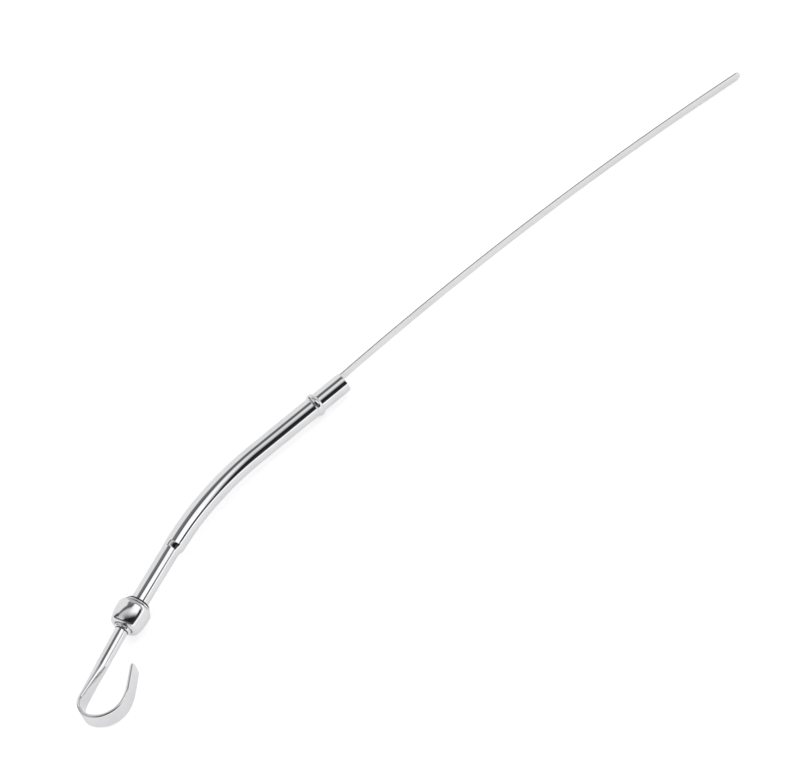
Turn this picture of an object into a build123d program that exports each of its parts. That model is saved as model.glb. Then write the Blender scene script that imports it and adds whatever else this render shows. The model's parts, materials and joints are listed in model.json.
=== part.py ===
from build123d import *
from math import cos, degrees, radians, sin
import os

# Engine oil dipstick in its bent guide tube, lying as it comes to rest. All sizes in millimetres.
# The tube, the blade and the hook are drawn in one flat plane, the plane of the bend, with the origin at
# the middle of the stop bead, X along the block stub towards the blade's tip and Y out of the bend.

# Guide tube
tube_od = 12.7
tube_wall = 0.8
top_od = 11.1
stub_length = 22.9  # middle of the bead to the free end
stub_end_chamfer = 0.5
bead_od = 15.6
bead_width = 4.4
bead_root_round = 0.5
lower_run = 48.8  # middle of the bead to the bend
bend_radius = 194.0
bend_angle = 22.5
swage_length = 3.2
swage_offset = 0.6  # the top run's axis lies this far out of the bend
top_run = 49.5
top_end_chamfer = 0.3

# Cap and its rubber seal
cap_length = 17.0
cap_mouth_d = 15.6
cap_rim_bore_d = 14.7
cap_rim_wall = 1.2
cap_shoulder_d = 21.26
cap_shoulder = 4.4  # mouth to the end of the round shoulder
cap_belly_d = 21.3
cap_belly = 5.5  # mouth to the widest place
cap_end_d = 17.4
cap_end_round = 2.5
cap_end_wall = 1.5
cap_cavity_d = 15.8
cap_cavity_cone = 3.2  # length of the slope from the rim out to the cavity's wall
cap_grip = 9.0  # how far the cap reaches down the tube
seal_proud = 1.4  # seal's lip beyond the cap's mouth
seal_lip_chamfer = 0.4

# Handle
rod_d = 7.94
rod_reach = 26.0  # below the tube's top edge
rod_end_chamfer = 0.6
collar_d = 10.8
collar_length = 2.4
collar_round = 1.0
rod_lean = 2.5  # the bar leans to the hook's side above the collar
rod_lean_radius = 40.0
rod_run = 22.8  # above the lean, as far as where the bar starts to flatten
flatten_length = 24.0
strip_width = 12.9
strip_thickness = 2.0
strip_edge_bulge = 0.35
hook_heel_radius = 10.9  # the hook starts tight, measured to the middle of the strip
hook_heel_turn = 99.0
hook_toe_radius = 16.6  # opens out
hook_toe_turn = 80.0
hook_ease_radius = 28.0  # and runs out into the straight leg
hook_ease_turn = 20.0
hook_leg = 15.0
hook_tip_round = 2.0
slot_depth = 14.0  # blade held in the bar's lower end

# Blade
blade_width = 6.35
blade_thickness = 0.8
blade_corner_radius = 150.0  # where the blade follows the tube's bend
blade_exit_offset = 3.8  # from the stub's axis, out of the bend
blade_exit_angle = 2.3
blade_free_length = 324.0  # from the stub's end to the tip
blade_free_radius = 2000.0

# Clearances
seat_gap = 0.3  # tube's top edge to the bottom of the seal
seal_clearance = 0.15  # seal round the tube
press_clearance = 0.05  # between pieces that stay together

up = Vector(0, 0, 1)
tube_r = tube_od / 2
bore_r = tube_r - tube_wall
top_r = top_od / 2
top_bore_r = top_r - tube_wall
rod_r = rod_d / 2

# The bend's middle line, from the lower run up to the swage
bend_line = JernArc(start=(-lower_run, 0), tangent=(-1, 0), radius=bend_radius, arc_size=bend_angle)
bend_top = bend_line @ 1
pull_direction = bend_line % 1
out_of_bend = pull_direction.rotate(Axis.Z, -90)

# The stick's own frame: its X is the axis along which it is pulled out, from the tube's top edge
top_centre = bend_top + out_of_bend * swage_offset + pull_direction * (swage_length + top_run)
pull = Plane(origin=top_centre, x_dir=pull_direction, z_dir=up)


def box_between(x0, x1, y0, y1):
    return Pos((x0 + x1) / 2, (y0 + y1) / 2) * Rectangle(x1 - x0, y1 - y0)


def hump(width, foot_r, peak_r):
    arc = ThreePointArc((-width / 2, foot_r), (0, peak_r), (width / 2, foot_r))
    return make_face(arc + Line(arc @ 1, arc @ 0))


def ring(plane, outer_r, inner_r):
    return plane * (Circle(outer_r) - Circle(inner_r))


def across(centre):
    return Plane(origin=centre, x_dir=up, z_dir=pull_direction)


def tapered(start, start_r, end, end_r):
    return loft([across(start) * Circle(start_r), across(end) * Circle(end_r)])


def make_guide_tube():
    # Lower run and stub turned about X, with the wall pushed out into the stop bead
    wall = box_between(-lower_run, stub_length, bore_r, tube_r)
    wall += hump(bead_width, tube_r, bead_od / 2)
    roots = wall.vertices().filter_by_position(Axis.X, -bead_width, bead_width)
    wall = fillet(roots.group_by(Axis.Y)[-1], bead_root_round)
    wall -= hump(bead_width - tube_wall, bore_r, bead_od / 2 - tube_wall)
    free_end = wall.vertices().group_by(Axis.X)[-1].sort_by(Axis.Y)[-1]
    wall = chamfer(free_end, stub_end_chamfer)
    lower = revolve(wall, Axis.X)

    bend_axis = Axis((-lower_run, -bend_radius, 0), (0, 0, 1))
    bend_start = Plane(origin=(-lower_run, 0, 0), x_dir=up, z_dir=(-1, 0, 0))
    bend = revolve(ring(bend_start, tube_r, bore_r), bend_axis, bend_angle)

    swage_top = bend_top + out_of_bend * swage_offset + pull_direction * swage_length
    swage = tapered(bend_top, tube_r, swage_top, top_r) - tapered(bend_top, bore_r, swage_top, top_bore_r)

    top_wall = box_between(-top_run, 0, top_bore_r, top_r)
    top_edge = top_wall.vertices().group_by(Axis.X)[-1].sort_by(Axis.Y)[-1]
    top_wall = chamfer(top_edge, top_end_chamfer)
    return lower + bend + swage + pull * revolve(top_wall, Axis.X)


def cap_cavity(clearance):
    rim_r = cap_rim_bore_d / 2 - clearance
    wall_r = cap_cavity_d / 2 - clearance
    cone_start = cap_rim_wall + clearance
    return [(cone_start, rim_r), (cone_start + cap_cavity_cone, wall_r),
            (cap_length - cap_end_wall - clearance, wall_r)]


def make_cap():
    belly = ThreePointArc((cap_shoulder, cap_shoulder_d / 2), (cap_belly, cap_belly_d / 2),
                          (cap_length, cap_end_d / 2))
    shoulder = TangentArc(belly @ 0, (0, cap_mouth_d / 2), tangent=-(belly % 0))
    end_face = Line(belly @ 1, (cap_length, 0))
    body = make_face(shoulder + belly + end_face + Polyline((cap_length, 0), (0, 0), shoulder @ 1))
    rim = body.vertices().sort_by_distance(belly @ 1)[0]
    body = fillet(rim, cap_end_round)
    cavity = cap_cavity(0)
    inner_end = cavity[-1][0]
    hollow = Polyline((0, 0), (0, cavity[0][1]), *cavity, (inner_end, 0), close=True)
    body -= make_face(hollow)
    body -= box_between(0, cap_length, 0, rod_r + press_clearance)
    return pull * Pos(-cap_grip) * revolve(body, Axis.X)


def make_cap_seal():
    outline = cap_cavity(press_clearance)
    lip_r = outline[0][1]
    inner_end = outline[-1][0]
    body = make_face(Polyline((-seal_proud, 0), (-seal_proud, lip_r), *outline, (inner_end, 0), close=True))
    lip = body.vertices().sort_by_distance((-seal_proud, lip_r))[0]
    body = chamfer(lip, seal_lip_chamfer)
    body -= box_between(-seal_proud, cap_grip + seat_gap, 0, top_r + seal_clearance)
    body -= box_between(0, cap_length, 0, rod_r + press_clearance)
    return pull * Pos(-cap_grip) * revolve(body, Axis.X)


def flattened(share):
    # Section of the bar, from round at a share of 0 to the flat strip at 1: two broad faces, two edges
    corner = rod_r * cos(radians(45))
    half_t = rod_r + (strip_thickness / 2 - rod_r) * share
    half_w = rod_r + (strip_width / 2 - rod_r) * share
    y = corner + (strip_thickness / 2 - corner) * share
    z = corner + (strip_width / 2 - strip_edge_bulge - corner) * share
    edges = ThreePointArc((-y, z), (0, half_w), (y, z)) + ThreePointArc((y, -z), (0, -half_w), (-y, -z))
    if share < 1:
        edges += ThreePointArc((y, z), (half_t, 0), (y, -z))
        edges += ThreePointArc((-y, -z), (-half_t, 0), (-y, z))
    else:
        edges += Line((y, z), (y, -z)) + Line((-y, -z), (-y, z))
    return make_face(edges)


def section_at(x):
    return Plane(origin=(x, 0, 0), x_dir=(0, 1, 0), z_dir=(1, 0, 0))


def make_handle():
    # Bar with its collar, from the slotted end in the tube up to the small bend above the cap
    cap_end = cap_length - cap_grip
    lean_start = cap_end + collar_length
    rod = box_between(-rod_reach, lean_start, 0, rod_r)
    rod = chamfer(rod.vertices().sort_by_distance((-rod_reach, rod_r))[0], rod_end_chamfer)
    collar = box_between(cap_end, lean_start, 0, collar_d / 2)
    collar = fillet(collar.vertices().sort_by_distance((lean_start, collar_d / 2))[0], collar_round)
    handle = revolve(rod + collar, Axis.X)
    handle -= Pos(-rod_reach + slot_depth / 2) * Box(slot_depth, blade_thickness, blade_width)
    lean_axis = Axis((lean_start, rod_lean_radius, 0), (0, 0, 1))
    handle += revolve(section_at(lean_start) * Circle(rod_r), lean_axis, rod_lean)

    # The rest is drawn along the leaning axis: round, then flat with an even start and finish, then hooked
    lean_line = JernArc((lean_start, 0), (1, 0), rod_lean_radius, rod_lean)
    lean = Plane(origin=lean_line @ 1, x_dir=lean_line % 1, z_dir=up)
    grip = extrude(section_at(0) * Circle(rod_r), rod_run)
    shares = [0, 0.15, 0.38, 0.62, 0.85, 1]
    step = flatten_length / (len(shares) - 1)
    grip += loft([section_at(rod_run + step * i) * flattened(share) for i, share in enumerate(shares)])

    strip = flattened(1)
    line = Line((0, 0), (rod_run + flatten_length, 0))
    bends = ((hook_heel_radius, hook_heel_turn), (hook_toe_radius, hook_toe_turn),
             (hook_ease_radius, hook_ease_turn))
    for radius, turn in bends:
        start = Plane(origin=line @ 1, x_dir=line % 1, z_dir=up)
        grip += start * revolve(section_at(0) * strip, Axis((0, radius, 0), (0, 0, 1)), turn)
        line = JernArc(line @ 1, line % 1, radius, turn)

    leg = extrude(section_at(0) * strip, hook_leg)
    outline = Pos(hook_leg / 2) * Rectangle(hook_leg, strip_width)
    outline = fillet(outline.vertices().group_by(Axis.X)[-1], hook_tip_round)
    leg = leg & extrude(Plane.XZ * outline, strip_thickness, both=True)
    grip += Plane(origin=line @ 1, x_dir=line % 1, z_dir=up) * leg
    return pull * (handle + lean * grip)


def blade_path():
    # Down the stick's axis, round the bend inside the tube, out along the stub's outer wall, then free
    top = pull.from_local_coords(Vector(slot_depth - rod_reach, 0, 0))
    exit_point = Vector(stub_length, blade_exit_offset, 0)
    exit_direction = Vector(cos(radians(blade_exit_angle)), sin(radians(blade_exit_angle)), 0)
    to_corner = (top - exit_point).cross(pull_direction).Z / exit_direction.cross(pull_direction).Z
    corner = exit_point + exit_direction * to_corner
    inside = FilletPolyline(top, corner, exit_point, radius=blade_corner_radius)
    free_turn = blade_free_length / blade_free_radius
    free = JernArc(exit_point, exit_direction, blade_free_radius, -degrees(free_turn))
    return inside, free


def make_blade():
    inside, free = blade_path()
    line = Wire(inside.edges() + free.edges())
    ribbon = make_face(offset(line, blade_thickness / 2, side=Side.LEFT))
    ribbon += make_face(offset(line, blade_thickness / 2, side=Side.RIGHT))
    blade = extrude(ribbon, blade_width / 2, both=True)
    tip = Plane(origin=free @ 1, x_dir=free % 1, z_dir=up)
    half = blade_width / 2
    corners = Pos(-half / 2) * Box(half, 4 * blade_thickness, blade_width)
    corners -= Pos(-half) * Rot(90, 0, 0) * Cylinder(half, 8 * blade_thickness)
    return blade - tip * corners


def rest_plane():
    # It lies on the cap's belly, the stop bead and the lower edge of the blade's tip
    free = blade_path()[1]
    cap_foot = pull.from_local_coords(Vector(cap_belly - cap_grip, 0, 0)) - up * (cap_belly_d / 2)
    bead_foot = Vector(0, 0, -bead_od / 2)
    tip_foot = (free @ 1) - (free % 1) * (blade_width / 2) - up * (blade_width / 2)
    normal = (tip_foot - cap_foot).cross(bead_foot - cap_foot).normalized()
    return Plane(origin=bead_foot, x_dir=(1, 0, -normal.X / normal.Z), z_dir=normal)


pieces = {
    "guide_tube": make_guide_tube(),
    "blade": make_blade(),
    "handle": make_handle(),
    "cap": make_cap(),
    "cap_seal": make_cap_seal(),
}

floor = rest_plane()
pieces = {name: floor.to_local_coords(piece) for name, piece in pieces.items()}
box = Compound(list(pieces.values())).bounding_box()
to_origin = Pos(-box.center().X, -box.center().Y, -box.min.Z)

os.makedirs("parts", exist_ok=True)
for name, piece in pieces.items():
    export_step(to_origin * piece, os.path.join("parts", name + ".step"))
    print(name, "volume", round(piece.volume, 1))


def placed(point):
    return (to_origin * Pos(floor.to_local_coords(point))).position


# Places and directions that other parts need
stub_middle = Vector((bead_width / 2 + stub_length) / 2, 0, 0)
print("stub middle", placed(stub_middle))
print("stub axis", placed(Vector(1, 0, 0)) - placed(Vector(0, 0, 0)))
print("tube top", placed(top_centre))
print("pull axis", placed(top_centre + pull_direction) - placed(top_centre))
print("size", box.size)
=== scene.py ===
import json
from math import asin, atan2, ceil, cos, pi, radians, sin, sqrt

import bmesh
import bpy
from mathutils import Matrix, Vector

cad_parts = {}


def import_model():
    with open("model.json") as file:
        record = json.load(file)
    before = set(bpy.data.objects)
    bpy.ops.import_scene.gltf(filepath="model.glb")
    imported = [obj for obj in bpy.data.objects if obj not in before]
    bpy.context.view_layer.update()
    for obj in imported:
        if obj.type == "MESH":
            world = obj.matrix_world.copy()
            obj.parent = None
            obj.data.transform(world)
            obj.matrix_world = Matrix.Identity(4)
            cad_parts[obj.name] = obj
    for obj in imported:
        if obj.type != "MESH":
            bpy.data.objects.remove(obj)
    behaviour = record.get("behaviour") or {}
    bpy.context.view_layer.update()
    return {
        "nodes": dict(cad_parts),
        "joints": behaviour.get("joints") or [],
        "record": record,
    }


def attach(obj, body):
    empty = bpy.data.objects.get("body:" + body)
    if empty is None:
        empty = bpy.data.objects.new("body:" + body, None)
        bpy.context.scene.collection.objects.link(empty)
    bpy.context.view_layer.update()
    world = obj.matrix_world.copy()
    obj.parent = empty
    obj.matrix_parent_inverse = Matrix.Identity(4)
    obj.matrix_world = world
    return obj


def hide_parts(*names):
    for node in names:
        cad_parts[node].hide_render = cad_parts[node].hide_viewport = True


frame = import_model()
scene = bpy.context.scene
mm = 0.001  # a piece is made in millimetres and scaled when it is put in its place
tiny = 0.01  # allowance where places on a mesh are compared
print("frame loaded with", ", ".join(sorted(frame["nodes"])))


# axes of the stick and its tube, from the stub mount and the pull slide
stubMount = frame["record"]["mounts"][0]
stubAxis = Vector(stubMount["axis"]).normalized()
pullAxis = Vector(frame["joints"][0]["axis"]).normalized()
bendNormal = pullAxis.cross(stubAxis).normalized()


def placeAt(origin, along):
    side = bendNormal.cross(along)
    axes = Matrix((along, side, bendNormal)).transposed().to_4x4()
    return Matrix.Translation(origin) @ axes @ Matrix.Scale(mm, 4)


# node helpers, for geometry and shaders alike
def addNode(tree, kind, **choices):
    node = tree.nodes.new(kind)
    for name, value in choices.items():
        setattr(node, name, value)
    return node


def plug(tree, target, value):
    if isinstance(value, bpy.types.NodeSocket):
        tree.links.new(value, target)
    else:
        target.default_value = value


def mathOf(tree, operation, *operands):
    node = addNode(tree, "ShaderNodeMath", operation=operation)
    for socket, value in zip(node.inputs, operands):
        plug(tree, socket, value)
    return node.outputs[0]


def vectorOf(tree, operation, first, second):
    node = addNode(tree, "ShaderNodeVectorMath", operation=operation)
    plug(tree, node.inputs[0], first)
    plug(tree, node.inputs[1], second)
    return node.outputs[0]


def softStep(tree, value, low, high):
    node = addNode(tree, "ShaderNodeMapRange", interpolation_type="SMOOTHSTEP")
    for name, given in (("Value", value), ("From Min", low), ("From Max", high)):
        plug(tree, node.inputs[name], given)
    return node.outputs[0]


def levelBetween(tree, share, low, high):
    node = addNode(tree, "ShaderNodeMix", data_type="FLOAT")
    plug(tree, node.inputs[0], share)
    plug(tree, node.inputs[2], low)
    plug(tree, node.inputs[3], high)
    return node.outputs[0]


def colourBetween(tree, share, low, high):
    node = addNode(tree, "ShaderNodeMix", data_type="RGBA")
    plug(tree, node.inputs[0], share)
    plug(tree, node.inputs[6], low)
    plug(tree, node.inputs[7], high)
    return node.outputs[2]


def newGroup(name, kind, inputs, outputs):
    tree = bpy.data.node_groups.new(name, kind)
    for direction, sockets in (("INPUT", inputs), ("OUTPUT", outputs)):
        for label, socketType, value in sockets:
            socket = tree.interface.new_socket(label, in_out=direction, socket_type=socketType)
            if value is not None:
                socket.default_value = value
    return tree, addNode(tree, "NodeGroupInput").outputs, addNode(tree, "NodeGroupOutput").inputs


# shared surface effects
marksLook = {"lineRange": (0.3, 0.7), "lineDetail": 3.0, "hazeRange": (0.42, 0.72), "hazeDetail": 4.0}


def makeDrawnLines():
    # fine lines left by drawing and polishing, long on X of the straight piece
    tree, given, result = newGroup("drawnLines", "ShaderNodeTree",
                                   [("Place", "NodeSocketVector", None), ("Length", "NodeSocketFloat", 20.0),
                                    ("Fineness", "NodeSocketFloat", 6.0)],
                                   [("Lines", "NodeSocketFloat", None)])
    squeeze = addNode(tree, "ShaderNodeCombineXYZ")
    plug(tree, squeeze.inputs[0], mathOf(tree, "DIVIDE", 1.0, given["Length"]))
    plug(tree, squeeze.inputs[1], given["Fineness"])
    plug(tree, squeeze.inputs[2], given["Fineness"])
    noise = addNode(tree, "ShaderNodeTexNoise")
    plug(tree, noise.inputs["Vector"], vectorOf(tree, "MULTIPLY", given["Place"], squeeze.outputs[0]))
    noise.inputs["Scale"].default_value = 1.0
    noise.inputs["Detail"].default_value = marksLook["lineDetail"]
    plug(tree, result["Lines"], softStep(tree, noise.outputs[0], *marksLook["lineRange"]))
    return tree


def makeHandlingHaze():
    # soft cloudy patches that handling leaves on a bare surface
    tree, given, result = newGroup("handlingHaze", "ShaderNodeTree",
                                   [("Place", "NodeSocketVector", None),
                                    ("Patch Size", "NodeSocketFloat", 14.0)],
                                   [("Haze", "NodeSocketFloat", None)])
    noise = addNode(tree, "ShaderNodeTexNoise")
    plug(tree, noise.inputs["Vector"], given["Place"])
    plug(tree, noise.inputs["Scale"], mathOf(tree, "DIVIDE", 1.0, given["Patch Size"]))
    noise.inputs["Detail"].default_value = marksLook["hazeDetail"]
    plug(tree, result["Haze"], softStep(tree, noise.outputs[0], *marksLook["hazeRange"]))
    return tree


drawnLines = makeDrawnLines()
handlingHaze = makeHandlingHaze()


def startMaterial(name):
    material = bpy.data.materials.new(name)
    material.use_nodes = True
    tree = material.node_tree
    place = addNode(tree, "ShaderNodeAttribute", attribute_name="straightPlace").outputs["Vector"]
    return material, tree, tree.nodes["Principled BSDF"], place


def useGroup(tree, group, place, **values):
    node = addNode(tree, "ShaderNodeGroup", node_tree=group)
    plug(tree, node.inputs["Place"], place)
    for name, value in values.items():
        node.inputs[name].default_value = value
    return node.outputs[0]


def addBump(tree, surface, height, depth, strength):
    bump = addNode(tree, "ShaderNodeBump")
    bump.inputs["Strength"].default_value = strength
    bump.inputs["Distance"].default_value = depth * mm
    plug(tree, bump.inputs["Height"], height)
    plug(tree, surface.inputs["Normal"], bump.outputs[0])


# how much a metal is drawn and hazed, for its colour and gloss, and the lines alone for its bump
def drawnAndHazed(tree, place, look):
    haze = useGroup(tree, handlingHaze, place, **{"Patch Size": look["patch"]})
    lines = useGroup(tree, drawnLines, place, Length=look["lineLength"], Fineness=look["lineFineness"])
    hazed = mathOf(tree, "MULTIPLY", haze, look["hazeShare"])
    return mathOf(tree, "MULTIPLY_ADD", lines, look["lineShare"], hazed), lines


# the near-black colour below is painted shade for grooves and creases
chromeLook = {"bright": (0.902, 0.902, 0.918, 1), "hazed": (0.842, 0.842, 0.862, 1),
              "creaseShade": (0.05, 0.05, 0.055, 1), "grooveDull": 0.4, "smooth": 0.02, "dull": 0.07,
              "capSmooth": 0.09, "capDull": 0.15, "patch": 16.0, "lineLength": 30.0, "lineFineness": 5.0,
              "lineShare": 0.25, "hazeShare": 0.75, "lineDepth": 0.0015, "lineStrength": 0.06}


def makeChrome(name, smooth, dull):
    material, tree, surface, place = startMaterial(name)
    mixed, lines = drawnAndHazed(tree, place, chromeLook)
    surface.inputs["Metallic"].default_value = 1.0
    creaseShade = addNode(tree, "ShaderNodeAttribute", attribute_name="creaseShade").outputs["Fac"]
    clean = colourBetween(tree, mixed, chromeLook["bright"], chromeLook["hazed"])
    # marked grooves and creases get the near-black painted shade
    plug(tree, surface.inputs["Base Color"], colourBetween(tree, creaseShade, clean, chromeLook["creaseShade"]))
    polish = levelBetween(tree, mixed, smooth, dull)
    plug(tree, surface.inputs["Roughness"], levelBetween(tree, creaseShade, polish, chromeLook["grooveDull"]))
    addBump(tree, surface, lines, chromeLook["lineDepth"], chromeLook["lineStrength"])
    return material


# the dark edge colour below is painted shade for the blade's two long edges
steelLook = {"bright": (0.985, 0.985, 0.99, 1), "dark": (0.92, 0.92, 0.93, 1),
             "edgeShade": (0.42, 0.42, 0.43, 1), "edgeShadeFrom": 3.0, "edgeShadeSoft": 0.12, "smooth": 0.30, "dull": 0.40,
             "patch": 30.0, "lineLength": 40.0, "lineFineness": 4.0, "lineShare": 0.6, "hazeShare": 0.4,
             "lineDepth": 0.004, "lineStrength": 0.15}


def makeSpringSteel():
    material, tree, surface, place = startMaterial("springSteel")
    mixed, lines = drawnAndHazed(tree, place, steelLook)
    surface.inputs["Metallic"].default_value = 1.0
    # the two long edges are darker than the faces: painted shade along the edges
    parts = addNode(tree, "ShaderNodeSeparateXYZ")
    plug(tree, parts.inputs[0], place)
    fromMiddle = mathOf(tree, "ABSOLUTE", parts.outputs[2])
    edgeShade = softStep(tree, fromMiddle, steelLook["edgeShadeFrom"], steelLook["edgeShadeFrom"] + steelLook["edgeShadeSoft"])
    faces = colourBetween(tree, mixed, steelLook["bright"], steelLook["dark"])
    plug(tree, surface.inputs["Base Color"], colourBetween(tree, edgeShade, faces, steelLook["edgeShade"]))
    plug(tree, surface.inputs["Roughness"], levelBetween(tree, mixed, steelLook["smooth"], steelLook["dull"]))
    addBump(tree, surface, lines, steelLook["lineDepth"], steelLook["lineStrength"])
    return material


rubberLook = {"fresh": (0.012, 0.012, 0.013, 1), "bloomed": (0.035, 0.035, 0.037, 1),
              "smooth": 0.5, "dull": 0.72, "patch": 5.0, "grain": 0.35, "grainDepth": 0.03,
              "grainStrength": 0.3}


def makeRubber():
    material, tree, surface, place = startMaterial("sealRubber")
    haze = useGroup(tree, handlingHaze, place, **{"Patch Size": rubberLook["patch"]})
    grain = addNode(tree, "ShaderNodeTexNoise")
    plug(tree, grain.inputs["Vector"], place)
    grain.inputs["Scale"].default_value = 1 / rubberLook["grain"]
    colour = colourBetween(tree, haze, rubberLook["fresh"], rubberLook["bloomed"])
    plug(tree, surface.inputs["Base Color"], colour)
    plug(tree, surface.inputs["Roughness"], levelBetween(tree, haze, rubberLook["smooth"], rubberLook["dull"]))
    addBump(tree, surface, grain.outputs[0], rubberLook["grainDepth"], rubberLook["grainStrength"])
    return material


chrome = makeChrome("chromePlate", chromeLook["smooth"], chromeLook["dull"])
capChrome = makeChrome("capChrome", chromeLook["capSmooth"], chromeLook["capDull"])
springSteel = makeSpringSteel()
rubber = makeRubber()
print("materials made:", ", ".join(m.name for m in (chrome, capChrome, springSteel, rubber)))


# straight pieces are rings of points, one ring for each place along X
def arcPoints(centre, radius, start, end, steps):
    angles = [start + (end - start) * i / steps for i in range(steps + 1)]
    return [(centre[0] + radius * cos(a), centre[1] + radius * sin(a)) for a in angles]


def evenly(start, end, longest):
    steps = max(1, ceil((end - start) / longest))
    return [start + (end - start) * i / steps for i in range(steps + 1)]


def turned(profile, sides):
    corners = [2 * pi * i / sides for i in range(sides)]
    return [[(x, r * cos(a), r * sin(a)) for a in corners] for x, r in profile]


def ringMesh(name, rings, hollow):
    bm = bmesh.new()
    made = [[bm.verts.new(p) for p in ring] for ring in rings]
    following = made[1:] + made[:1] if hollow else made[1:]
    for ring, after in zip(made, following):
        for i in range(len(ring)):
            bm.faces.new((ring[i - 1], ring[i], after[i], after[i - 1]))
    if not hollow:
        bm.faces.new(made[0])
        bm.faces.new(made[-1])
    bmesh.ops.recalc_face_normals(bm, faces=bm.faces)
    mesh = bpy.data.meshes.new(name)
    bm.to_mesh(mesh)
    bm.free()
    return mesh


def addObject(name, mesh):
    piece = bpy.data.objects.new(name, mesh)
    scene.collection.objects.link(piece)
    return piece


def keepStraightPlace(mesh):
    places = mesh.attributes.new("straightPlace", "FLOAT_VECTOR", "POINT")
    for vertex, place in zip(mesh.vertices, places.data):
        place.vector = vertex.co


# painted shade that darkens the narrow grooves and creases, as a point attribute for the shader
def markCreaseShade(mesh, inShadedCrease):
    creaseShades = mesh.attributes.new("creaseShade", "FLOAT", "POINT")
    for vertex, creaseShade in zip(mesh.vertices, creaseShades.data):
        creaseShade.value = inShadedCrease(vertex.co.x, sqrt(vertex.co.y ** 2 + vertex.co.z ** 2))


def finishMesh(piece, mesh, matrix, material, sharpFrom=32):
    mesh.transform(matrix)
    piece.data = mesh
    if not mesh.materials:
        mesh.materials.append(material)
    mesh.shade_smooth()
    mesh.set_sharp_from_angle(angle=radians(sharpFrom))


# geometry nodes: one bend of a straight piece, at its own place along X
def makeBendStep():
    tree, given, result = newGroup("bendStep", "GeometryNodeTree",
                                   [("Geometry", "NodeSocketGeometry", None), ("Start", "NodeSocketFloat", 0.0),
                                    ("Radius", "NodeSocketFloat", 10.0), ("Turn", "NodeSocketFloat", 0.0)],
                                   [("Geometry", "NodeSocketGeometry", None)])
    straight = addNode(tree, "GeometryNodeInputNamedAttribute", data_type="FLOAT_VECTOR")
    straight.inputs["Name"].default_value = "straightPlace"
    parts = addNode(tree, "ShaderNodeSeparateXYZ")
    plug(tree, parts.inputs[0], straight.outputs[0])
    past = mathOf(tree, "SUBTRACT", parts.outputs[0], given["Start"])
    swung = mathOf(tree, "MAXIMUM", mathOf(tree, "DIVIDE", past, given["Radius"]), 0.0)
    angle = mathOf(tree, "MINIMUM", swung, mathOf(tree, "ABSOLUTE", given["Turn"]))
    back = addNode(tree, "ShaderNodeCombineXYZ")
    plug(tree, back.inputs[0], mathOf(tree, "MULTIPLY", angle, given["Radius"]))
    side = mathOf(tree, "SIGN", given["Turn"])
    centre = addNode(tree, "ShaderNodeCombineXYZ")
    plug(tree, centre.inputs[0], given["Start"])
    plug(tree, centre.inputs[1], mathOf(tree, "MULTIPLY", side, given["Radius"]))
    turn = addNode(tree, "ShaderNodeVectorRotate", rotation_type="Z_AXIS")
    position = addNode(tree, "GeometryNodeInputPosition").outputs[0]
    plug(tree, turn.inputs["Vector"], vectorOf(tree, "SUBTRACT", position, back.outputs[0]))
    plug(tree, turn.inputs["Center"], centre.outputs[0])
    plug(tree, turn.inputs["Angle"], mathOf(tree, "MULTIPLY", angle, side))
    move = addNode(tree, "GeometryNodeSetPosition")
    plug(tree, move.inputs["Geometry"], given["Geometry"])
    plug(tree, move.inputs["Position"], turn.outputs[0])
    plug(tree, result["Geometry"], move.outputs[0])
    return tree


# and a sideways step, as a swage makes
def makeSideStep():
    tree, given, result = newGroup("sideStep", "GeometryNodeTree",
                                   [("Geometry", "NodeSocketGeometry", None), ("Start", "NodeSocketFloat", 0.0),
                                    ("Length", "NodeSocketFloat", 1.0), ("Offset", "NodeSocketFloat", 0.0)],
                                   [("Geometry", "NodeSocketGeometry", None)])
    parts = addNode(tree, "ShaderNodeSeparateXYZ")
    plug(tree, parts.inputs[0], addNode(tree, "GeometryNodeInputPosition").outputs[0])
    end = mathOf(tree, "ADD", given["Start"], given["Length"])
    share = softStep(tree, parts.outputs[0], given["Start"], end)
    offset = addNode(tree, "ShaderNodeCombineXYZ")
    plug(tree, offset.inputs[1], mathOf(tree, "MULTIPLY", share, given["Offset"]))
    move = addNode(tree, "GeometryNodeSetPosition")
    plug(tree, move.inputs["Geometry"], given["Geometry"])
    plug(tree, move.inputs["Offset"], offset.outputs[0])
    plug(tree, result["Geometry"], move.outputs[0])
    return tree


bendStep = makeBendStep()
sideStep = makeSideStep()


# steps are given from the near end to the far end, and applied from the far end back
def followPath(piece, mesh, steps, matrix, material):
    keepStraightPlace(mesh)
    piece.data = mesh
    sockets = [("Geometry", "NodeSocketGeometry", None), ("Finish", "NodeSocketMaterial", None)]
    values = {"Finish": material}
    for label, group, sizes in steps:
        for size, value in sizes.items():
            sockets.append((label + " " + size, "NodeSocketFloat", None))
            values[label + " " + size] = value
    tree, given, result = newGroup(piece.name + "Path", "GeometryNodeTree", sockets,
                                   [("Geometry", "NodeSocketGeometry", None)])
    shape = given["Geometry"]
    for label, group, sizes in reversed(steps):
        step = addNode(tree, "GeometryNodeGroup", node_tree=group)
        plug(tree, step.inputs["Geometry"], shape)
        for size in sizes:
            plug(tree, step.inputs[size], given[label + " " + size])
        shape = step.outputs[0]
    real = addNode(tree, "GeometryNodeRealizeInstances")
    plug(tree, real.inputs[0], shape)
    finish = addNode(tree, "GeometryNodeSetMaterial")
    plug(tree, finish.inputs["Geometry"], real.outputs[0])
    plug(tree, finish.inputs["Material"], given["Finish"])
    plug(tree, result["Geometry"], finish.outputs[0])
    modifier = piece.modifiers.new("path", "NODES")
    modifier.node_group = tree
    for item in tree.interface.items_tree:
        if item.in_out == "INPUT" and item.name in values:
            modifier[item.identifier] = values[item.name]
    bpy.context.view_layer.update()
    evaluated = piece.evaluated_get(bpy.context.evaluated_depsgraph_get())
    bent = bpy.data.meshes.new_from_object(evaluated)
    piece.modifiers.remove(modifier)
    finishMesh(piece, bent, matrix, material)


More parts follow.
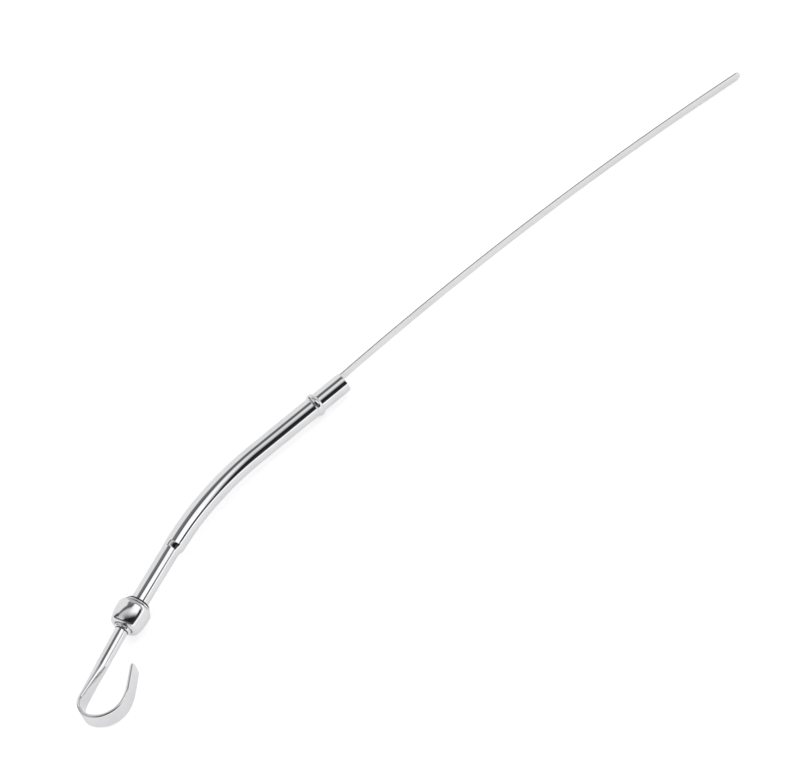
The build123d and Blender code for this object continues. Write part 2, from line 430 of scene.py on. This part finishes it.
# guide tube
tubeSizes = {"radius": 6.35, "wall": 0.8, "topRadius": 5.55, "stubLength": 22.9, "stubMiddle": 12.55,
             "stubRound": 0.5, "beadRadius": 7.8, "beadWidth": 4.4, "beadRoot": 0.5, "bendStart": 48.8,
             "bendRadius": 194.0, "bendTurn": 22.5, "swageLength": 3.2, "swageEase": 0.4, "swageSoft": 0.2,
             "swageOffset": 0.6, "topRun": 49.5, "topRound": 0.3, "sides": 144, "hold": 0.15}

bendLength = tubeSizes["bendRadius"] * radians(tubeSizes["bendTurn"])
swageStart = tubeSizes["bendStart"] + bendLength
easeStart = swageStart - tubeSizes["swageEase"]
easeLength = tubeSizes["swageLength"] + 2 * tubeSizes["swageEase"]
topStart = swageStart + tubeSizes["swageLength"]
topEnd = topStart + tubeSizes["topRun"]


def beadOutline(half, foot, peak, root):
    rise = peak - foot
    radius = (half ** 2 + rise ** 2) / (2 * rise)
    middle = peak - radius
    if not root:
        spread = asin(half / radius)
        return arcPoints((0, middle), radius, pi / 2 + spread, pi / 2 - spread, steps=24)
    height = foot + root - middle
    reach = sqrt((radius + root) ** 2 - height ** 2)
    lean = atan2(height, reach)
    points = arcPoints((-reach, foot + root), root, -pi / 2, -lean, steps=10)
    points += arcPoints((0, middle), radius, pi - lean, lean, steps=40)[1:]
    points += arcPoints((reach, foot + root), root, pi + lean, 1.5 * pi, steps=10)[1:]
    return points


def swageOutline(low, high, steps=20):
    # a nearly even change of diameter, a little softer at its start and finish
    soft = tubeSizes["swageSoft"]
    points = []
    for share in [i / steps for i in range(steps + 1)]:
        done = (1 - soft) * share + soft * share * share * (3 - 2 * share)
        points.append((easeStart + easeLength * share, low + (high - low) * done))
    return points


def makeGuideTube():
    s = tubeSizes
    hold = s["hold"]
    bore = s["radius"] - s["wall"]
    topBore = s["topRadius"] - s["wall"]
    stubEnd = -s["stubLength"]
    outer = arcPoints((stubEnd + s["stubRound"], s["radius"] - s["stubRound"]), s["stubRound"],
                      pi, pi / 2, steps=6)
    outer.append((stubEnd + s["stubRound"] + hold, s["radius"]))
    bead = beadOutline(s["beadWidth"] / 2, s["radius"], s["beadRadius"], s["beadRoot"])
    outer += [(bead[0][0] - hold, s["radius"])] + bead + [(bead[-1][0] + hold, s["radius"])]
    outer.append((s["bendStart"] - hold, s["radius"]))
    outer += [(x, s["radius"]) for x in evenly(s["bendStart"], easeStart - hold, longest=1.5)]
    outer += swageOutline(s["radius"], s["topRadius"])
    outer += [(x, s["topRadius"]) for x in (topStart + s["swageEase"] + hold, topEnd - s["topRound"] - hold)]
    outer += arcPoints((topEnd - s["topRound"], s["topRadius"] - s["topRound"]), s["topRound"],
                       pi / 2, 0, steps=4)
    inner = [(stubEnd, bore)]
    inner += beadOutline((s["beadWidth"] - s["wall"]) / 2, bore, s["beadRadius"] - s["wall"], 0)
    inner += [(x, bore) for x in evenly(s["bendStart"], easeStart - hold, longest=3.0)]
    inner += swageOutline(bore, topBore) + [(topEnd, topBore)]
    mesh = ringMesh("guideTube", turned(outer + inner[::-1], s["sides"]), hollow=True)
    piece = addObject("guideTube", mesh)
    bends = [("Bend", bendStep, {"Start": s["bendStart"], "Radius": s["bendRadius"],
                                 "Turn": radians(s["bendTurn"])}),
             ("Swage", sideStep, {"Start": easeStart, "Length": easeLength, "Offset": -s["swageOffset"]})]
    followPath(piece, mesh, bends, tubeMatrix, chrome)
    return piece


beadCentre = Vector(stubMount["pos_m"]) - stubAxis * tubeSizes["stubMiddle"] * mm
tubeMatrix = placeAt(beadCentre, -stubAxis)
guideTube = makeGuideTube()
print("guide tube made,", len(guideTube.data.polygons), "faces")

# the stick's own frame starts at the middle of the tube's top edge
bendTurn = radians(tubeSizes["bendTurn"])
bendTop = Vector((tubeSizes["bendStart"] + tubeSizes["bendRadius"] * sin(bendTurn),
                  tubeSizes["bendRadius"] * (1 - cos(bendTurn)), 0))
upTube = Vector((cos(bendTurn), sin(bendTurn), 0))
outOfBend = Vector((sin(bendTurn), -cos(bendTurn), 0))
topCentre = bendTop + outOfBend * tubeSizes["swageOffset"] + upTube * (topEnd - swageStart)
stickMatrix = placeAt(tubeMatrix @ topCentre, pullAxis)

# cap
capSizes = {"length": 17.0, "mouthRadius": 7.8, "rimBore": 7.35, "rimWall": 1.2, "shoulder": 4.4,
            "shoulderRadius": 10.63, "belly": 5.5, "bellyRadius": 10.65, "endRadius": 8.7, "endRound": 2.5,
            "endWall": 1.5, "cavityRadius": 7.9, "cavityCone": 3.2, "rodBore": 4.02, "grip": 9.0,
            "rimRound": 0.2, "lipRadius": 0.7, "lipInset": 0.05, "lipRise": 0.25, "lipEnd": -18.0,
            "grooveFloor": ((0.2, 0.3), (0.5, 0.4)), "grooveEnd": 0.8, "lipShadeSpan": (1.3, 2.0),
            "lipShadeRadius": 9.0, "dishRadius": 6.3, "dishEdge": (0.12, 0.1), "dishRoot": 0.1, "dishFloor": 5.5,
            "dishDepth": 0.9, "dishShadeSpan": (5.3, 5.7), "sides": 160}


def circleThrough(a, b, c):
    ax, ay, bx, by, cx, cy = *a, *b, *c
    aa, bb, cc = (px ** 2 + py ** 2 for px, py in (a, b, c))
    d = 2 * (ax * (by - cy) + bx * (cy - ay) + cx * (ay - by))
    x = (aa * (by - cy) + bb * (cy - ay) + cc * (ay - by)) / d
    y = (aa * (cx - bx) + bb * (ax - cx) + cc * (bx - ax)) / d
    return (x, y), sqrt((ax - x) ** 2 + (ay - y) ** 2)


def angleFrom(centre, point):
    return atan2(point[1] - centre[1], point[0] - centre[0])


def capOutline():
    s = capSizes
    start = (s["shoulder"], s["shoulderRadius"])
    mouth = (0, s["mouthRadius"])
    middle, radius = circleThrough(start, (s["belly"], s["bellyRadius"]), (s["length"], s["endRadius"]))
    # the shoulder's arc leaves the belly smoothly, so both centres lie on one line through its start
    toMiddle = ((middle[0] - start[0]) / radius, (middle[1] - start[1]) / radius)
    chord = (mouth[0] - start[0], mouth[1] - start[1])
    small = (chord[0] ** 2 + chord[1] ** 2) / (2 * (chord[0] * toMiddle[0] + chord[1] * toMiddle[1]))
    near = (start[0] + toMiddle[0] * small, start[1] + toMiddle[1] * small)
    corner = (s["length"] - s["endRound"],
              middle[1] + sqrt((radius - s["endRound"]) ** 2 - (s["length"] - s["endRound"] - middle[0]) ** 2))
    meet = angleFrom(middle, corner)
    points = arcPoints(near, small, angleFrom(near, mouth), angleFrom(near, start), steps=24)
    points += arcPoints(middle, radius, angleFrom(middle, start), meet, steps=48)[1:]
    points += arcPoints(corner, s["endRound"], meet, 0, steps=20)[1:]
    return points


def cavityOutline(inset):
    s = capSizes
    return [(s["rimWall"] + inset, s["rimBore"] - inset),
            (s["rimWall"] + inset + s["cavityCone"], s["cavityRadius"] - inset),
            (s["length"] - s["endWall"] - inset, s["cavityRadius"] - inset)]


def makeCap():
    s = capSizes
    # a rolled lip round the mouth, with a groove behind it, and a shallow dish round the bar
    lip = s["lipRadius"]
    outer = arcPoints((lip + s["lipInset"], s["mouthRadius"] + s["lipRise"]), lip,
                      pi, radians(s["lipEnd"]), steps=10)
    outer += [(2 * lip + x, s["mouthRadius"] + rise) for x, rise in s["grooveFloor"]]
    outer += [p for p in capOutline() if p[0] > 2 * lip + s["grooveEnd"]]
    edgeDeep, edgeWide = s["dishEdge"]
    dishAt = s["length"] - s["dishDepth"]
    outer += [(s["length"], s["dishRadius"]), (s["length"] - edgeDeep, s["dishRadius"] - edgeWide)]
    outer += [(dishAt + s["dishRoot"], s["dishFloor"] + s["dishRoot"]), (dishAt, s["dishFloor"])]
    outer.append((dishAt, s["rodBore"]))
    inner = [(s["rimRound"], s["rimBore"])] + cavityOutline(0)
    inner.append((inner[-1][0], s["rodBore"]))
    mouth = [(0, s["rimBore"] + s["rimRound"])]
    mesh = ringMesh("cap", turned(outer + inner[::-1] + mouth, s["sides"]), hollow=True)

    # painted shade in the groove behind the lip and at the corner of the dish
    def inShadedCrease(x, r):
        behindLip = s["lipShadeSpan"][0] < x < s["lipShadeSpan"][1] and r < s["lipShadeRadius"]
        return behindLip or x > dishAt - tiny and s["dishShadeSpan"][0] < r < s["dishShadeSpan"][1]

    markCreaseShade(mesh, inShadedCrease)
    mesh.transform(Matrix.Translation((-s["grip"], 0, 0)))
    keepStraightPlace(mesh)
    piece = addObject("cap", mesh)
    finishMesh(piece, mesh, stickMatrix, capChrome)
    return piece


cap = makeCap()
print("cap made,", len(cap.data.polygons), "faces")

# rubber seal in the cap
sealSizes = {"proud": 1.4, "lipRound": 0.4, "fit": 0.05, "tubeBore": 5.7, "seat": 9.3, "sides": 128}


def makeCapSeal():
    s = sealSizes
    shell = cavityOutline(s["fit"])
    lip = shell[0][1]
    outline = [(-s["proud"], s["tubeBore"] + s["lipRound"])]
    outline += arcPoints((-s["proud"] + s["lipRound"], lip - s["lipRound"]), s["lipRound"], pi, pi / 2, steps=6)
    outline += shell + [(shell[-1][0], capSizes["rodBore"]), (s["seat"], capSizes["rodBore"])]
    outline += [(s["seat"], s["tubeBore"])]
    outline += arcPoints((-s["proud"] + s["lipRound"], s["tubeBore"] + s["lipRound"]), s["lipRound"],
                         1.5 * pi, pi, steps=6)[:-1]
    mesh = ringMesh("capSeal", turned(outline, s["sides"]), hollow=True)
    mesh.transform(Matrix.Translation((-capSizes["grip"], 0, 0)))
    keepStraightPlace(mesh)
    piece = addObject("capSeal", mesh)
    finishMesh(piece, mesh, stickMatrix, rubber)
    return piece


capSeal = makeCapSeal()
print("cap seal made,", len(capSeal.data.polygons), "faces")

# blade
bladeSizes = {"width": 6.35, "thickness": 0.8, "edgeRound": 0.18, "topEnd": -12.0, "cornerRadius": 150.0,
              "exitOffset": 3.8, "exitAngle": 2.3, "freeLength": 324.0, "freeRadius": 2000.0, "hold": 1.0,
              "tipRings": 24, "tipCorner": 0.9}


def roundedStrip(halfThick, halfWide, corner, steps=4):
    points = []
    for quarter, (y, z) in enumerate(((1, 1), (-1, 1), (-1, -1), (1, -1))):
        centre = (y * (halfThick - corner), z * (halfWide - corner))
        points += arcPoints(centre, corner, quarter * pi / 2, (quarter + 1) * pi / 2, steps)
    return points


def makeBlade():
    s = bladeSizes
    turn = radians(tubeSizes["bendTurn"] - s["exitAngle"])
    # in the tube's frame: from the stick's slot down to where the blade's two straight runs would meet
    top = topCentre + upTube * s["topEnd"]
    leaving = Vector((-tubeSizes["stubLength"], -s["exitOffset"], 0))
    heading = Vector((-cos(radians(s["exitAngle"])), -sin(radians(s["exitAngle"])), 0))
    apart = leaving - top
    run = (apart.x * heading.y - apart.y * heading.x) / (upTube.y * heading.x - upTube.x * heading.y)
    meeting = top - upTube * run
    cut = s["cornerRadius"] * abs(sin(turn / 2) / cos(turn / 2))
    bendAt = run - cut
    bendEnd = bendAt + s["cornerRadius"] * turn
    freeAt = bendEnd + (leaving - meeting).length - cut
    tip = freeAt + s["freeLength"]
    halfWide = s["width"] / 2
    stations = [0.0, bendAt - s["hold"]] + evenly(bendAt, bendEnd, longest=2.0)
    stations += [bendEnd + s["hold"], freeAt - s["hold"]] + evenly(freeAt, tip - halfWide, longest=6.0)
    section = roundedStrip(s["thickness"] / 2, halfWide, s["edgeRound"])
    rings = [[(x, y, z) for y, z in section] for x in stations]
    # the round tip stops half a step short of a point
    for i in range(1, s["tipRings"] + 1):
        a = pi / 2 * i / (s["tipRings"] + 0.5)
        wide = halfWide * cos(a)
        section = roundedStrip(s["thickness"] / 2, wide, min(s["edgeRound"], wide * s["tipCorner"]))
        rings.append([(tip - halfWide + halfWide * sin(a), y, z) for y, z in section])
    mesh = ringMesh("blade", rings, hollow=False)
    piece = addObject("blade", mesh)
    bends = [("Corner", bendStep, {"Start": bendAt, "Radius": s["cornerRadius"], "Turn": -turn}),
             ("Free", bendStep, {"Start": freeAt, "Radius": s["freeRadius"],
                                 "Turn": -s["freeLength"] / s["freeRadius"]})]
    matrix = placeAt(tubeMatrix @ top, -pullAxis)
    followPath(piece, mesh, bends, matrix, springSteel)
    return piece


blade = makeBlade()
print("blade made,", len(blade.data.polygons), "faces")

# handle
handleSizes = {"radius": 3.97, "reach": 26.0, "endChamfer": 0.6, "collarStart": 7.15, "collarEnd": 9.8,
               "collarRadius": 5.4, "collarRound": 1.0, "collarFoot": 0.25, "collarFillet": 0.4,
               "collarHold": 0.1, "collarShadeReach": 0.3, "rodStart": 10.4, "lean": 2.5, "leanRadius": 40.0,
               "rodRun": 22.8, "rodHold": 0.5, "flatten": 24.0, "flattenOn": 9.0, "flattenRings": 90,
               "stripWidth": 12.9, "stripThick": 2.5, "inset": 0.25, "roundCrown": 45.0, "faceCrown": 1.5,
               "crownFade": 1.5, "heelRadius": 10.9, "heelTurn": 99.0, "toeRadius": 16.6, "toeTurn": 80.0,
               "easeRadius": 28.0, "easeTurn": 20.0, "stripHold": 0.3, "leg": 15.0, "legFrom": 1.0,
               "tipRound": 2.0, "tipRings": 14, "tipEdge": 0.3, "tipEdgeRings": 5}


def barSection(share):
    # the bar's section from round, at a share of 0, to the flat strip at 1: broad faces with round edges
    # the shift leaves the strip's outer face where the solid has it
    s = handleSizes
    halfThick = s["radius"] + (s["stripThick"] / 2 - s["radius"]) * share
    halfWide = s["radius"] + (s["stripWidth"] / 2 - s["radius"]) * share
    crown = radians(s["faceCrown"] + (s["roundCrown"] - s["faceCrown"]) * (1 - share) ** s["crownFade"])
    apart = (halfWide - halfThick) / (sin(crown) + cos(crown) - 1)
    edgeRadius = halfThick - apart * (1 - cos(crown))
    faceRadius = edgeRadius + apart
    face = arcPoints((halfThick - faceRadius, 0), faceRadius, 0, crown, steps=14)
    edge = arcPoints((0, halfWide - edgeRadius), edgeRadius, crown, pi / 2, steps=16)
    quarter = face + edge[1:]
    upper = quarter + [(-p[0], p[1]) for p in quarter[-2::-1]]
    shift = s["inset"] * share
    return [(y + shift, z) for y, z in upper + [(p[0], -p[1]) for p in upper[-2:0:-1]]]


def makeHandle():
    s = handleSizes
    bar = s["radius"]
    foot, fillet, end = s["collarFoot"], s["collarFillet"], s["collarEnd"]
    leanEnd = s["rodStart"] + s["leanRadius"] * radians(s["lean"])
    flatAt = leanEnd + s["rodRun"]
    heelAt = flatAt + s["flatten"]
    toeAt = heelAt + s["heelRadius"] * radians(s["heelTurn"])
    easeAt = toeAt + s["toeRadius"] * radians(s["toeTurn"])
    legAt = easeAt + s["easeRadius"] * radians(s["easeTurn"])
    tip = legAt + s["leg"]
    profile = [(-s["reach"], bar - s["endChamfer"]), (-s["reach"] + s["endChamfer"], bar)]
    profile += [(s["collarStart"] - s["collarHold"], bar), (s["collarStart"], bar)]
    profile += arcPoints((s["collarStart"] + foot, s["collarRadius"] - foot), foot, pi, pi / 2, steps=4)
    profile += arcPoints((end - s["collarRound"], s["collarRadius"] - s["collarRound"]), s["collarRound"],
                         pi / 2, 0, steps=12)
    profile += arcPoints((end + fillet, bar + fillet), fillet, pi, 1.5 * pi, steps=8)
    profile += [(x, bar) for x in evenly(s["rodStart"], leanEnd, longest=0.3)]
    profile += [(leanEnd + s["rodHold"], bar), (flatAt - s["rodHold"], bar)]
    unit = [(y / bar, z / bar) for y, z in barSection(0)]
    rings = [[(x, radius * y, radius * z) for y, z in unit] for x, radius in profile]
    # it gets thinner down to the first part of the heel
    flatEnd = heelAt + s["flattenOn"]
    for i in range(s["flattenRings"] + 1):
        u = i / s["flattenRings"]
        share = (u + u * u * (3 - 2 * u)) / 2  # nearly even, with a soft start and finish
        rings.append([(flatAt + (flatEnd - flatAt) * u, y, z) for y, z in barSection(share)])
    strip = barSection(1)
    stations = evenly(flatEnd + s["stripHold"], toeAt, longest=0.4)[:-1]
    stations += evenly(toeAt, easeAt, longest=0.6)[:-1] + evenly(easeAt, legAt, longest=1.0)
    stations += [legAt + s["stripHold"]] + evenly(legAt + s["legFrom"], tip - s["tipRound"], longest=5.0)
    rings += [[(x, y, z) for y, z in strip] for x in stations]
    halfWide = s["stripWidth"] / 2
    # round corners at the tip, then its round edge
    ends = [(tip - s["tipRound"] + (s["tipRound"] - s["tipEdge"]) * i / s["tipRings"], 0)
            for i in range(1, s["tipRings"] + 1)]
    for i in range(1, s["tipEdgeRings"] + 1):
        a = pi / 2 * i / s["tipEdgeRings"]
        ends.append((tip - s["tipEdge"] + s["tipEdge"] * sin(a), s["tipEdge"] * (1 - cos(a))))
    for x, inset in ends:
        past = x - tip + s["tipRound"]
        wide = halfWide - s["tipRound"] + sqrt(max(0, s["tipRound"] ** 2 - past ** 2)) - inset
        thick = 1 - 2 * inset / s["stripThick"]
        rings.append([(x, s["inset"] + (y - s["inset"]) * thick, z * wide / halfWide) for y, z in strip])
    mesh = ringMesh("handle", rings, hollow=False)
    # painted shade in the crease at the collar's foot
    markCreaseShade(mesh, lambda x, r: end - tiny < x < end + fillet + tiny and r < bar + s["collarShadeReach"])
    piece = addObject("handle", mesh)
    bends = []
    for label, start, radius, turn in (("Lean", s["rodStart"], s["leanRadius"], s["lean"]),
                                       ("Heel", heelAt, s["heelRadius"], s["heelTurn"]),
                                       ("Toe", toeAt, s["toeRadius"], s["toeTurn"]),
                                       ("Ease", easeAt, s["easeRadius"], s["easeTurn"])):
        bends.append((label, bendStep, {"Start": start, "Radius": radius, "Turn": radians(turn)}))
    followPath(piece, mesh, bends, stickMatrix, chrome)
    return piece


handle = makeHandle()
print("handle made,", len(handle.data.polygons), "faces")

for piece, body, node, slot in ((guideTube, "tube", "guide_tube", "chrome_plate"),
                                (blade, "dipstick", "blade", "spring_steel"),
                                (handle, "dipstick", "handle", "chrome_plate"),
                                (cap, "dipstick", "cap", "chrome_plate"),
                                (capSeal, "dipstick", "cap_seal", "seal_rubber")):
    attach(piece, body)
    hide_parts(node)
print("pieces ride on their bodies")

# floor, in metres: white to the eye, with the soft shadow of what lies on it
floorLook = {"size": 8.0, "drop": 0.0002, "bright": (0.80, 0.80, 0.80, 1), "dim": (0.77, 0.77, 0.77, 1),
             "patchScale": 1.5, "liftSeen": 0.58, "liftMirrored": 0.37, "paintMirrored": 0.8}


def makeFloor():
    half = floorLook["size"] / 2
    mesh = bpy.data.meshes.new("floor")
    corners = [(-half, -half), (half, -half), (half, half), (-half, half)]
    mesh.from_pydata([(x, y, -floorLook["drop"]) for x, y in corners], [], [(0, 1, 2, 3)])
    material = bpy.data.materials.new("paleFloor")
    material.use_nodes = True
    tree = material.node_tree
    tree.nodes.remove(tree.nodes["Principled BSDF"])
    place = addNode(tree, "ShaderNodeTexCoord").outputs["Object"]
    noise = addNode(tree, "ShaderNodeTexNoise")
    plug(tree, noise.inputs["Vector"], place)
    noise.inputs["Scale"].default_value = floorLook["patchScale"]
    paint = addNode(tree, "ShaderNodeBsdfDiffuse")
    ray = addNode(tree, "ShaderNodeLightPath").outputs
    coat = colourBetween(tree, noise.outputs[0], floorLook["bright"], floorLook["dim"])
    dimmed = vectorOf(tree, "MULTIPLY", coat, (floorLook["paintMirrored"],) * 3)
    plug(tree, paint.inputs["Color"], colourBetween(tree, ray["Is Glossy Ray"], coat, dimmed))
    seen = mathOf(tree, "MAXIMUM", ray["Is Camera Ray"], ray["Is Transmission Ray"])
    lift = mathOf(tree, "MAXIMUM", mathOf(tree, "MULTIPLY", seen, floorLook["liftSeen"]),
                  mathOf(tree, "MULTIPLY", ray["Is Glossy Ray"], floorLook["liftMirrored"]))
    glow = addNode(tree, "ShaderNodeEmission")
    plug(tree, glow.inputs["Strength"], lift)
    both = addNode(tree, "ShaderNodeAddShader")
    plug(tree, both.inputs[0], paint.outputs[0])
    plug(tree, both.inputs[1], glow.outputs[0])
    plug(tree, tree.nodes["Material Output"].inputs["Surface"], both.outputs[0])
    mesh.materials.append(material)
    floor = addObject("floor", mesh)


makeFloor()

# studio: a bent light box overhead, a far panel behind a dark gap, dark on one side, in pale walls
# places are on a ceiling one unit above the object, in the row's X and Y, mostly across or along the box
studioLook = {"boxAcross": (0.768, 0.640), "boxAlong": (0.640, -0.768), "leftAcross": (0.815, 0.580),
              "boxLeft": (-0.27, 0.13), "boxRight": 0.235, "boxEnd": 1.75, "boxFlare": 0.36, "flareFrom": 0.2,
              "flareTo": 0.55, "boxLevel": 1.12, "boxDim": 0.64, "boxFade": (0.0, 0.65),
              "wingLow": -0.12, "wingFrom": (0.05, -0.3), "wingEnd": -1.5,
              "darkLevel": 0.01, "farDark": 0.12, "farFade": (-0.5, -1.4),
              "endDark": 0.03, "endLevel": 0.75, "endFrom": (0.255, 0.30), "endTo": (0.42, 0.34),
              "gapRight": 0.51, "gapDark": 0.10, "gapLevel": 0.19, "gapFade": (0.3, 0.5),
              "sideLevel": 0.50, "cornerLevel": 0.06,
              "panelFrom": 0.45, "panelLeft": 0.0, "panelSlant": 0.35, "panelRight": 0.20, "panelLean": 0.35,
              "panelLevel": 0.82, "notchLeft": 0.16, "notchTop": 0.70, "notchRight": 0.28, "notchLean": 0.25,
              "wallNear": 1.08, "wallFar": 0.78, "wallLeft": 0.22, "leftFade": (-0.45, -0.75),
              "wallTop": 0.25, "wallFoot": 0.20, "lowest": 0.03, "edge": 0.04, "plainFactor": 2.0}


def makeStudio():
    s = studioLook
    world = bpy.data.worlds.new("studio")
    world.use_nodes = True
    scene.world = world
    tree = world.node_tree
    parts = addNode(tree, "ShaderNodeSeparateXYZ")
    plug(tree, parts.inputs[0], addNode(tree, "ShaderNodeTexCoord").outputs["Generated"])
    rise = mathOf(tree, "MAXIMUM", parts.outputs[2], s["lowest"])
    x = mathOf(tree, "DIVIDE", parts.outputs[0], rise)
    y = mathOf(tree, "DIVIDE", parts.outputs[1], rise)

    def blended(shares):
        fromX = mathOf(tree, "MULTIPLY", x, shares[0])
        return mathOf(tree, "ADD", fromX, mathOf(tree, "MULTIPLY", y, shares[1]))

    def past(value, limit, blur=1.0):
        return softStep(tree, value, limit - s["edge"] * blur, limit + s["edge"] * blur)

    def before(value, limit, blur=1.0):
        return softStep(tree, value, limit + s["edge"] * blur, limit - s["edge"] * blur)

    def allOf(first, *others):
        for other in others:
            first = mathOf(tree, "MULTIPLY", first, other)
        return first

    across = blended(s["boxAcross"])
    along = blended(s["boxAlong"])
    # the box: it fades towards the dark side, is dim overhead and wider past that, and has a wing to the left
    flare = softStep(tree, along, s["flareFrom"], s["flareTo"])
    fromRight = mathOf(tree, "SUBTRACT", across, mathOf(tree, "MULTIPLY", flare, s["boxFlare"]))
    wing = allOf(past(y, s["wingLow"], blur=2), softStep(tree, x, *s["wingFrom"]),
                 past(x, s["wingEnd"], blur=4))
    inBox = mathOf(tree, "MAXIMUM", wing, softStep(tree, blended(s["leftAcross"]), *s["boxLeft"]))
    inBox = allOf(inBox, before(fromRight, s["boxRight"]), before(along, s["boxEnd"], blur=3))
    # beyond it: the gap, the far panel with a dark notch in it, and the dark corner at its left
    level = levelBetween(tree, softStep(tree, across, *s["farFade"]), s["darkLevel"], s["farDark"])
    atEnd = allOf(softStep(tree, across, *s["endFrom"]), softStep(tree, across, *s["endTo"]))
    end = levelBetween(tree, atEnd, s["endDark"], s["endLevel"])
    level = levelBetween(tree, past(along, s["boxEnd"], blur=3), level, end)
    gap = levelBetween(tree, softStep(tree, fromRight, *s["gapFade"]), s["gapDark"], s["gapLevel"])
    level = levelBetween(tree, past(fromRight, s["boxRight"]), level, gap)
    level = levelBetween(tree, past(fromRight, s["gapRight"], blur=0.8), level, s["sideLevel"])
    fromLeft = blended((1, s["panelSlant"]))
    inCorner = allOf(past(fromRight, s["boxRight"]), before(fromLeft, s["panelLeft"]))
    level = levelBetween(tree, inCorner, level, s["cornerLevel"])
    inPanel = allOf(past(across, s["panelFrom"], blur=1.5), past(fromLeft, s["panelLeft"]),
                    before(blended((1, -s["panelLean"])), s["panelRight"], blur=2))
    level = levelBetween(tree, inPanel, level, s["panelLevel"])
    inNotch = allOf(past(x, s["notchLeft"]), before(y, s["notchTop"]),
                    before(blended((1, -s["notchLean"])), s["notchRight"], blur=2),
                    past(across, s["boxRight"]), before(along, s["flareFrom"]))
    level = levelBetween(tree, inNotch, level, gap)
    box = levelBetween(tree, softStep(tree, along, *s["boxFade"]), s["boxDim"], s["boxLevel"])
    level = levelBetween(tree, inBox, level, box)
    # the walls below the ceiling
    above = softStep(tree, parts.outputs[2], s["wallFoot"], s["wallTop"])
    wall = levelBetween(tree, past(y, 0, blur=8), s["wallNear"], s["wallFar"])
    wall = levelBetween(tree, softStep(tree, parts.outputs[0], *s["leftFade"]), wall, s["wallLeft"])
    wall = levelBetween(tree, inCorner, wall, s["cornerLevel"])
    level = levelBetween(tree, above, wall, level)
    ray = addNode(tree, "ShaderNodeLightPath").outputs
    seen = mathOf(tree, "MAXIMUM", ray["Is Camera Ray"], ray["Is Transmission Ray"])
    plug(tree, tree.nodes["Background"].inputs["Color"], levelBetween(tree, seen, level, 1.0))
    # the dark parts are only in the mirror's sight: painted things get a plain level of light
    plug(tree, tree.nodes["Background"].inputs["Strength"],
         levelBetween(tree, ray["Is Diffuse Ray"], 1.0, s["plainFactor"]))


makeStudio()
scene.view_settings.view_transform = "Standard"
print("floor and studio made")

# camera at the photograph's angle, its place in metres and its turn in degrees
cameraLook = {"place": (-0.466587, -1.099504, 1.607322), "turn": (34.8915, 12.7940, -39.9459),
              "lens": 148.515, "clipEnd": 50}
camera = bpy.data.objects.new("camera", bpy.data.cameras.new("camera"))
camera.location = cameraLook["place"]
camera.rotation_euler = [radians(a) for a in cameraLook["turn"]]
camera.data.lens = cameraLook["lens"]
camera.data.clip_end = cameraLook["clipEnd"]
scene.collection.objects.link(camera)
scene.camera = camera
